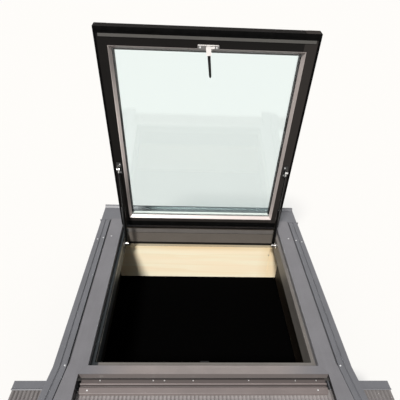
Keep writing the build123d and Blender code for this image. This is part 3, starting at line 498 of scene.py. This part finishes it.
def sash_end(net):
    """The end face of the sash, which lies uppermost while it stands open."""
    end = HINGE_POINT[1] - closed_points("sash_free_rail")[:, 1].min()
    return net.between(net.from_hinge(TO_FREE_END), end - 0.0015, end - 0.0005)


def spacer_zones(net, colour):
    """Painted light: the spacer's lower run is pale grey, standing in for the sunlight on it."""
    _, _, z = net.axes()
    # Painted highlight on the spacer's lower run.
    return [(net.up_to(z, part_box("spacer_bar")[0].z + 0.012, 0.002), (0.80, 0.78, 0.76, 1.0))]


def handle_zones(net, colour):
    """Painted highlights on the handle's neck and on the upper edge of its plate, and painted shade on the rest.
    """
    _, _, z = net.axes()
    low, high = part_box("handle_base")
    rise = high.z - low.z
    plate_face = HINGE_POINT[2] - closed_points("handle_base")[:, 2].min()
    # Painted highlight on the plate's upper edge, and painted shade darkens the rest of the handle.
    edge = net.between(z, low.z + rise * 0.84, low.z + rise * 0.88)
    neck_highlight = net.between(net.from_hinge(TO_ROOM), plate_face + 0.0002, plate_face + 0.0006)
    return [(1.0 - edge, tint(colour, 0.55)), (edge, tint(colour, 1.9)), (neck_highlight, tint(colour, 2.5))]


def bracket_zones(net, colour):
    """The plate of a bracket on the sash is painted black, and its ear and stud are bare."""
    _, _, z = net.axes()
    sash_face = HINGE_POINT[2] - closed_points("handle_base")[:, 2].max()
    plate = net.up_to(net.from_hinge(TO_ROOM), sash_face + 0.0031, 0.0003)
    on_sash = net.between(z, 0.60, 0.61)
    return [(plate * on_sash, tint(colour, 0.12))]


def left_board_shade_zones(net, colour):
    """Painted shade: the left board is darkened."""
    x, _, _ = net.axes()
    return [(net.between(x, *LEFT_SIDE), tint(colour, 0.35))]


# Materials

def coated_metal(name, colour, rough, streaks=(1, 0.05, 1), dust=0.10, gloss=0.5, zones=None, worn=None):
    """Coated sheet or extrusion: faint drawn streaks along one axis, mottling, dust, and the orange peel of
    the coating. Worn, where given, is a function of the net: a mask of the place where it is fully matt."""
    material, net = new_net(name)
    mottle = net.noise(7.0, 4.0, 0.6)
    drawn = net.noise(60.0, 3.0, 0.6, net.place(streaks))
    peel = net.noise(1400.0, 1.0) * 0.5 + net.noise(520.0, 2.0) * 0.5
    specks = net.between(net.noise(420.0, 2.0, 0.7), 0.62, 0.72)
    body = net.mix(net.between(mottle, 0.3, 0.7), tint(colour, 0.90), tint(colour, 1.10))
    body = net.mix(net.between(drawn, 0.35, 0.75, 0.0, 0.35), body, tint(colour, 1.22))
    body = net.mix(specks * dust, body, (0.62, 0.58, 0.52, 1.0))
    body = net.zoned(body, colour, zones)
    roughness = rough - 0.07 + mottle * 0.10 + drawn * 0.06
    if worn:
        roughness = roughness + worn(net) * (1.0 - rough)
    net.surface(
        Base_Color=body, Roughness=roughness, Specular_IOR_Level=gloss, Normal=net.bump(peel, 0.00006, 0.5)
    )
    return material


def pine_board(name, colour, grain_axis, contrast=1.0, gloss=0.5, zones=None):
    """Planed pine under a thin varnish: growth rings about a pith below the board, stretched along the grain,
    fibres, patches and bands that darken it, browner patches near its top and its ends, and painted shade along
    its top face under the kerb."""
    material, net = new_net(name)
    grain = net.place(stretched(7.0, 0.35, grain_axis), move=(0.31, 0.17, 0.43))
    wander = net.noise(1.6, 3.0, 0.5, grain)
    across, up = (part for axis, part in enumerate(net.split(grain)) if axis != grain_axis)
    radius = ((across + 0.6) ** 2.0 + (up + 1.9) ** 2.0) ** 0.5
    rings = net.math("FRACT", radius * 3.4 + wander * 3.0)
    late_wood = net.between(rings, 0.55, 1.0) * net.between(rings, 1.0, 0.94)
    fibres = net.noise(1.0, 2.0, 0.6, net.place(stretched(900.0, 12.0, grain_axis)))
    patches = net.noise(2.2, 2.0, 0.5)
    bands = net.noise(1.0, 2.0, 0.5, net.place(stretched(16.0, 1.6, grain_axis), move=(0.2, 0.7, 0.4)))
    body = net.mix(late_wood * contrast, tint(colour, 1.03), tint(colour, 0.90, 0.78, 0.60))
    body = net.mix(net.between(fibres, 0.3, 0.8, 0.0, 0.13), body, tint(colour, 0.78))
    body = net.mix(net.between(patches, 0.35, 0.7, 0.0, 0.18), body, tint(colour, 1.0, 0.93, 0.84))
    body = net.mix(net.between(bands, 0.42, 0.62, 0.0, 0.55), body, tint(colour, 1.02, 0.92, 0.86))
    x, _, z = net.axes()
    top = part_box("lining_head")[1].z
    near_top = net.between(z, top - 0.040, top - 0.002, 0.0, 1.2) * net.between(bands, 0.30, 0.60, 0.35)
    ends = net.between(abs(x), 0.40, 0.49, 0.0, 0.8) * net.between(patches, 0.3, 0.6, 0.4)
    body = net.mix(net.clamp(near_top + ends) * 0.6, body, tint(colour, 0.82, 0.66, 0.44))
    # Painted shade on the board's top face, under the kerb's nose.
    under_kerb_shade = net.between(z, top - 0.0012, top - 0.0004, 0.0, 0.75)
    body = net.mix(under_kerb_shade, body, tint(colour, 0.18))
    body = net.zoned(body, colour, zones)
    net.surface(
        Base_Color=body, Roughness=0.46 + fibres * 0.14, Specular_IOR_Level=gloss,
        Normal=net.bump(fibres * 0.6 + late_wood * 0.4, 0.00025, 0.6),
    )
    return material


def brushed_metal(name, colour, rough=0.30, along=(4, 700, 700), metallic=1.0, zones=None):
    """Brushed metal: fine scratches along one direction that vary its roughness and its relief."""
    material, net = new_net(name)
    scratches = net.noise(1.0, 3.0, 0.65, net.place(along))
    haze = net.noise(18.0, 3.0)
    body = net.mix(net.between(scratches, 0.3, 0.75), tint(colour, 0.88), tint(colour, 1.08))
    net.surface(
        Base_Color=net.zoned(body, colour, zones), Metallic=metallic,
        Roughness=rough - 0.08 + scratches * 0.14 + haze * 0.06, Normal=net.bump(scratches, 0.00004, 0.5),
    )
    return material


def zinc_plate(name, colour):
    """Zinc-plated steel: small flat spangles of differing grey, slightly rough between them."""
    material, net = new_net(name)
    grey, _, _ = net.split(net.cells(260.0, "Color"))
    net.surface(
        Base_Color=net.mix(grey, tint(colour, 0.82), tint(colour, 1.12)), Metallic=1.0,
        Roughness=0.30 + grey * 0.16, Normal=net.bump(net.noise(900.0, 2.0), 0.00004, 0.4),
    )
    return material


def black_rubber(name, colour):
    """Extruded rubber: matt, with a faint bloom and fine draw lines."""
    material, net = new_net(name)
    bloom = net.noise(30.0, 4.0, 0.6)
    net.surface(
        Base_Color=net.mix(net.between(bloom, 0.4, 0.75), tint(colour, 0.6), tint(colour, 1.2)),
        Roughness=0.62 + bloom * 0.2, Specular_IOR_Level=0.03,
        Normal=net.bump(net.noise(700.0, 2.0), 0.00008, 0.6),
    )
    return material


def gloss_black(name, colour, rough=0.16):
    """Stoved black paint on a drawn tube, with the softest ripple and a few rubbed patches."""
    material, net = new_net(name)
    rubbed = net.between(net.noise(55.0, 4.0, 0.65), 0.55, 0.75)
    net.surface(
        Base_Color=net.mix(rubbed * 0.35, tint(colour, 1.0), tint(colour, 2.4)),
        Roughness=rough + rubbed * 0.16, Specular_IOR_Level=0.30,
        Normal=net.bump(net.noise(240.0, 1.0), 0.00003, 0.4),
    )
    return material


def moulded_plastic(name, colour):
    """Satin moulded plastic with a fine spark-eroded grain."""
    material, net = new_net(name)
    grain = net.noise(1500.0, 2.0, 0.6)
    handling = net.noise(25.0, 3.0)
    net.surface(
        Base_Color=net.mix(net.between(handling, 0.4, 0.7), tint(colour, 0.9), tint(colour, 1.35)),
        Roughness=0.36 + handling * 0.14, Specular_IOR_Level=0.25, Normal=net.bump(grain, 0.00007, 0.5),
    )
    return material


def crimped_sheet(name, colour):
    """Soft coated sheet: worked matt, creased, with a painted highlight along its crimped edge beside the apron,
    and darker at its sides.
    """
    material, net = new_net(name)
    patches = net.noise(24.0, 4.0, 0.6)
    wrinkles = net.noise(160.0, 3.0, 0.6)
    x, y, _ = net.axes()
    crimped_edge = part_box("apron_skirt")[1].y
    # Painted highlight along the tops of the pleats at the crimped edge.
    crimp_highlight = net.between(y, crimped_edge - 0.069, crimped_edge - 0.061, 0.0, 0.4)
    sides = net.between(abs(x), 0.50, 0.56)
    body = net.mix(net.between(patches, 0.35, 0.7), tint(colour, 0.86), tint(colour, 1.12))
    body = net.mix(net.between(wrinkles, 0.45, 0.75, 0.0, 0.3), body, tint(colour, 1.35))
    body = net.mix(crimp_highlight, body, tint(colour, 1.5))
    body = net.mix(sides * 0.9, body, tint(colour, 0.62))
    net.surface(Base_Color=body, Roughness=0.48 + wrinkles * 0.16, Normal=net.bump(wrinkles, 0.0004, 0.6))
    return material


def perforated_spacer(name, colour, zones):
    """Black spacer bar with small breather holes along it."""
    material, net = new_net(name)
    holes = net.cells(220.0, "Distance")
    body = net.mix(net.between(holes, 0.18, 0.24), tint(colour, 0.3), tint(colour, 1.0))
    net.surface(
        Base_Color=net.zoned(body, colour, zones), Roughness=0.50 + net.noise(300.0) * 0.1,
        Specular_IOR_Level=0.05,
    )
    return material


def window_glass(name, colour):
    """Clear float glass. Light passes it on its way to other surfaces, and faint wiping marks dull it."""
    material, net = new_net(name)
    marks = net.noise(5.0, 5.0, 0.6, net.place((1.0, 2.5, 2.5)))
    glass = net.node("ShaderNodeBsdfPrincipled", None, {
        "Base Color": tint(colour, 1.0), "Roughness": net.between(marks, 0.45, 0.75, 0.0, 0.03),
        "IOR": 1.5, "Transmission Weight": 1.0,
    })
    through = net.node("ShaderNodeBsdfTransparent", None, {"Color": tint(colour, 1.0)})
    path = net.parts("ShaderNodeLightPath")
    passing = net.clamp(path["Is Shadow Ray"] + path["Is Diffuse Ray"])
    both = net.node("ShaderNodeMixShader", None, {0: passing, 1: glass, 2: through})
    net.node("ShaderNodeOutputMaterial", None, {"Surface": both})
    return material


# Settings

def number_property(name, words, default, **kind):
    return FloatProperty(name=name, description=words, default=default, **kind)


def length_property(name, words, default):
    return number_property(name, words, default, subtype="DISTANCE", unit="LENGTH", min=0)


def share_property(name, words, default):
    return number_property(name, words, default, subtype="FACTOR", min=0, max=1)


def vector_property(name, words, default, **kind):
    return FloatVectorProperty(name=name, description=words, default=default, size=len(default), **kind)


def colour_property(name, words, default):
    return vector_property(name, words, default, subtype="COLOR", min=0, max=1)


class FinishSettings(PropertyGroup):
    kerb: colour_property("Kerb", "Coated kerb extrusions", (0.135, 0.125, 0.1175))
    sill: colour_property("Sill cover", "Coated sheet of the sill and head covers", (0.200, 0.176, 0.171))
    cover: colour_property("Side covers", "Coated sheet of the side covers", (0.134, 0.132, 0.143))
    flashing: colour_property("Flashings", "Coated sheet of the flashings", (0.105, 0.107, 0.119))
    apron: colour_property("Apron", "Coated sheet of the apron", (0.132, 0.110, 0.107))
    skirt: colour_property("Skirt", "Pleated skirt", (0.225, 0.208, 0.206))
    pine: colour_property("Pine", "Planed lining boards", (1.0, 0.90, 0.69))
    # Painted shade: the side boards' near-black colour stands in for the shade inside the opening.
    board_shade: colour_property("Stained boards", "Dark stained side boards of the lining", (0.010, 0.008, 0.0065))
    sash: colour_property("Sash", "Coated sash profiles", (0.0066, 0.0058, 0.0054))
    bead: colour_property("Beads", "Glazing beads", (0.267, 0.236, 0.227))
    strip: colour_property("Strip", "Strip along the free end", (0.070, 0.067, 0.062))
    handle: colour_property("Handle", "Handle base and neck", (0.38, 0.365, 0.355))
    black: colour_property("Black parts", "Lever, struts, seals", (0.004, 0.004, 0.004))
    glass: colour_property("Glass", "Tint of the panes", (0.93, 0.975, 0.97))


class SkirtSettings(PropertyGroup):
    pleats: IntProperty(name="Pleats", description="Number of pleats across the skirt", default=97, min=8)
    crimp: share_property("Crimp", "Pleat depth at the crimped edge, as a share of its full depth", 0.3)
    crimp_run: length_property("Crimp run", "Distance over which the pleats deepen", 0.03)


class SealSettings(PropertyGroup):
    bulb: length_property("Bulb", "Width of the soft bulb along the seal's outer edge", 0.0085)
    groove: length_property("Groove", "Spacing of the fine grooves inside the bulb", 0.0045)


class LeverSettings(PropertyGroup):
    crown: share_property("Crown", "How far the grip thins towards its tip, as a share", 0.22)


class StageSettings(PropertyGroup):
    lens: number_property("Lens", "Focal length", 34.65, unit="CAMERA")
    shift: vector_property("Shift", "Lens shift", (-0.0101, 0.1877))
    eye: vector_property("Camera", "Camera position", (-0.0762, -1.5615, 1.7888),
                         subtype="XYZ", unit="LENGTH")
    look: vector_property("Look", "Yaw, pitch and roll of the camera", (-0.05459, -0.70662, -0.046532),
                          subtype="EULER", unit="ROTATION")
    key: number_property("Key", "Strength of the key light", 4.7, min=0)
    key_way: vector_property("Key direction", "Way that the key light travels", (0.25, 0.76, -1.0),
                             subtype="DIRECTION")
    fill: number_property("Fill", "Strength of the light from all round", 0.24, min=0)


# Operators

class SKYLIGHT_OT_finishes(Operator):
    """Give every CAD node the finish of its material slot"""

    bl_idname = "skylight.finishes"
    bl_label = "Finishes"

    def execute(self, context):
        s = context.scene.skylight_finish
        steel = (0.55, 0.55, 0.56)
        along_x = (0.05, 1, 1)
        finishes = {
            "kerb": coated_metal("kerb_coating", s.kerb, 0.40, gloss=0.2, zones=kerb_zones),
            "pine": pine_board("pine", s.pine, 0, 0.38),
            # The side boards' dark colour is painted shade.
            "stained_board": pine_board("stained_board", s.board_shade, 1, 1.0, 0.12, left_board_shade_zones),
            "sill_sheet": coated_metal("sill_cover_coating", s.sill, 0.45, along_x, zones=sill_zones),
            "cover_sheet": coated_metal("side_cover_coating", s.cover, 0.45, zones=cover_zones),
            "flashing_sheet": coated_metal("flashing_coating", s.flashing, 0.45, zones=flashing_zones),
            "apron_sheet": coated_metal("apron_coating", s.apron, 0.45, along_x, zones=apron_zones),
            "skirt_sheet": crimped_sheet("skirt_coating", s.skirt),
            "fastener_steel": zinc_plate("zinc_fasteners", (0.8, 0.8, 0.8)),
            "keeper_black": gloss_black("keeper_paint", s.black, 0.40),
            "hinge_steel": zinc_plate("zinc_hinges", steel),
            "bracket_steel": brushed_metal("bracket_metal", (0.72, 0.71, 0.70), zones=bracket_zones),
            "sash_bronze": coated_metal(
                "sash_coating", s.sash, 0.34, along_x, 0.02, 0.10, sash_zones, sash_end
            ),
            "key_aluminium": brushed_metal("milled_keys", steel),
            "bead_aluminium": coated_metal("bead_coating", s.bead, 0.32, zones=bead_zones),
            "strip_aluminium": coated_metal("strip_coating", s.strip, 0.36, along_x),
            "glass": window_glass("pane_glass", s.glass),
            "spacer_black": perforated_spacer("spacer_anodising", s.black, spacer_zones),
            "rubber": black_rubber("black_rubber", s.black),
            "handle_metal": brushed_metal("handle_metal", s.handle, 0.40, metallic=0.6, zones=handle_zones),
            "lever_black": moulded_plastic("lever_plastic", s.black),
            "strut_black": gloss_black("strut_paint", s.black),
            "strut_rod": gloss_black("strut_rod_polish", s.black, 0.10),
            "strut_eye": brushed_metal("strut_eye_metal", (0.75, 0.74, 0.72), 0.25, (700, 700, 30)),
        }
        for subpart in frame["record"]["subparts"]:
            mesh = frame["nodes"][subpart["node"]].data
            mesh.materials.clear()
            mesh.materials.append(finishes[subpart["material_slot"]])
        return {"FINISHED"}


class SKYLIGHT_OT_skirt(Operator):
    """Make the pleated skirt below the apron"""

    bl_idname = "skylight.skirt"
    bl_label = "Pleated skirt"

    def execute(self, context):
        thick = 0.0009
        grid = skirt_surface(*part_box("apron_skirt"), thick, context.scene.skylight_skirt)
        skirt = surface_object("pleated_skirt", grid, bpy.data.materials["skirt_coating"])
        wall = skirt.modifiers.new("thickness", "SOLIDIFY")
        wall.thickness, wall.offset = thick, 1.0
        place_piece(skirt, "frame", "apron_skirt")
        return {"FINISHED"}


class SKYLIGHT_OT_seal(Operator):
    """Make the weather seal round the inside face of the sash"""

    bl_idname = "skylight.seal"
    bl_label = "Weather seal"

    def execute(self, context):
        grid = opened(seal_surface(closed_points("weather_seal"), context.scene.skylight_seal))
        seal = outward(surface_object("bulb_seal", grid, bpy.data.materials["black_rubber"], True, True))
        place_piece(seal, "sash", "weather_seal")
        return {"FINISHED"}


class SKYLIGHT_OT_lever(Operator):
    """Make the grip of the handle's lever"""

    bl_idname = "skylight.lever"
    bl_label = "Lever grip"

    def execute(self, context):
        upright = about_spindle(closed_points("handle_lever"), LEVER_LEAN)
        grid = opened(about_spindle(grip_surface(upright, context.scene.skylight_lever), -LEVER_LEAN))
        lever = outward(surface_object("lever_grip", grid, bpy.data.materials["lever_plastic"], False, True))
        place_piece(lever, "handle", "handle_lever")
        return {"FINISHED"}


class SKYLIGHT_OT_stage(Operator):
    """Make the floor, the lights and the camera"""

    bl_idname = "skylight.stage"
    bl_label = "Stage"

    def execute(self, context):
        s = context.scene.skylight_stage
        context.scene.view_settings.view_transform = "Standard"
        self.floor()
        self.well()
        self.world(context.scene, s.fill)
        self.key(context.scene, s.key, s.key_way)
        self.camera(context.scene, s)
        return {"FINISHED"}

    def floor(self):
        """Pale paper, which glows a little where the eye meets it."""
        reach, glow_share = 45.0, 0.5
        lit_paper, seen_paper = (0.45, 0.44, 0.43, 1), (0.70, 0.69, 0.67, 1)
        material, net = new_net("floor")
        seen = net.seen_directly()
        paper = net.node("ShaderNodeBsdfDiffuse", None, {"Color": net.mix(seen, lit_paper, seen_paper)})
        glow = net.node("ShaderNodeEmission", None, {"Color": (1, 1, 1, 1), "Strength": 1.0})
        both = net.node("ShaderNodeMixShader", None, {0: seen * glow_share, 1: paper, 2: glow})
        net.node("ShaderNodeOutputMaterial", None, {"Surface": both})
        side = np.linspace(-reach, reach, 3)
        flat_patch("floor", side, side, 0.0, material)

    def well(self):
        """Painted shade: a dark patch on the floor inside the lining stands in for the dark room below, and keeps
        the opening black to its bottom.
        """
        height, under_lining = 0.0008, 0.006
        left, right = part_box("lining_left")[1].x - under_lining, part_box("lining_right")[0].x + under_lining
        front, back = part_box("lining_sill")[1].y - under_lining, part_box("lining_head")[0].y + under_lining
        material, net = new_net("well")
        net.surface(Base_Color=(0.001, 0.001, 0.001, 1), Roughness=1.0, Specular_IOR_Level=0.0)
        flat_patch("well", (left, right), (front, back), height, material)

    def world(self, scene, fill):
        """Soft light from all round, from a backdrop that is white where the eye meets it."""
        scene.world = bpy.data.worlds.new("studio")
        net = Net(scene.world)
        strength = fill + net.seen_directly() * (1.0 - fill)
        back = net.node("ShaderNodeBackground", None, {"Color": (1, 1, 1, 1), "Strength": strength})
        net.node("ShaderNodeOutputWorld", None, {"Surface": back})

    def key(self, scene, strength, way):
        """A broad, slightly warm sun."""
        lamp = bpy.data.lights.new("key", "SUN")
        lamp.energy, lamp.angle = strength, radians(11.0)
        lamp.color = (1.0, 0.975, 0.94)
        obj = bpy.data.objects.new("key", lamp)
        scene.collection.objects.link(obj)
        obj.rotation_mode = "QUATERNION"
        obj.rotation_quaternion = Vector(way).to_track_quat("-Z", "Y")

    def camera(self, scene, s):
        """Turned from a level look along y by yaw, pitch and roll, in that order."""
        camera = bpy.data.cameras.new("camera")
        camera.lens, camera.sensor_width = s.lens, 36.0
        camera.shift_x, camera.shift_y = s.shift
        obj = bpy.data.objects.new("camera", camera)
        scene.collection.objects.link(obj)
        yaw, pitch, roll = (Matrix.Rotation(angle, 4, axis) for angle, axis in zip(s.look, "ZXY"))
        level = Matrix.Rotation(pi / 2, 4, "X")
        obj.matrix_world = Matrix.Translation(s.eye) @ yaw @ pitch @ roll @ level
        scene.camera = obj


class SKYLIGHT_PT_panel(Panel):
    """Buttons for the skylight's pieces and stage"""

    bl_label = "Skylight"
    bl_space_type = "VIEW_3D"
    bl_region_type = "UI"
    bl_category = "Skylight"

    def draw(self, context):
        for operator in OPERATORS:
            self.layout.operator(operator.bl_idname)


OPERATORS = (SKYLIGHT_OT_finishes, SKYLIGHT_OT_skirt, SKYLIGHT_OT_seal, SKYLIGHT_OT_lever, SKYLIGHT_OT_stage)
SETTINGS = {
    "skylight_finish": FinishSettings,
    "skylight_skirt": SkirtSettings,
    "skylight_seal": SealSettings,
    "skylight_lever": LeverSettings,
    "skylight_stage": StageSettings,
}
CLASSES = (*SETTINGS.values(), *OPERATORS, SKYLIGHT_PT_panel)


def register():
    for cls in CLASSES:
        bpy.utils.register_class(cls)
    for name, cls in SETTINGS.items():
        setattr(bpy.types.Scene, name, PointerProperty(type=cls))


def unregister():
    for name in SETTINGS:
        delattr(bpy.types.Scene, name)
    for cls in reversed(CLASSES):
        bpy.utils.unregister_class(cls)


def main():
    register()
    for operator in OPERATORS:
        group, name = operator.bl_idname.split(".")
        getattr(getattr(bpy.ops, group), name)()


if __name__ == "__main__":
    main()
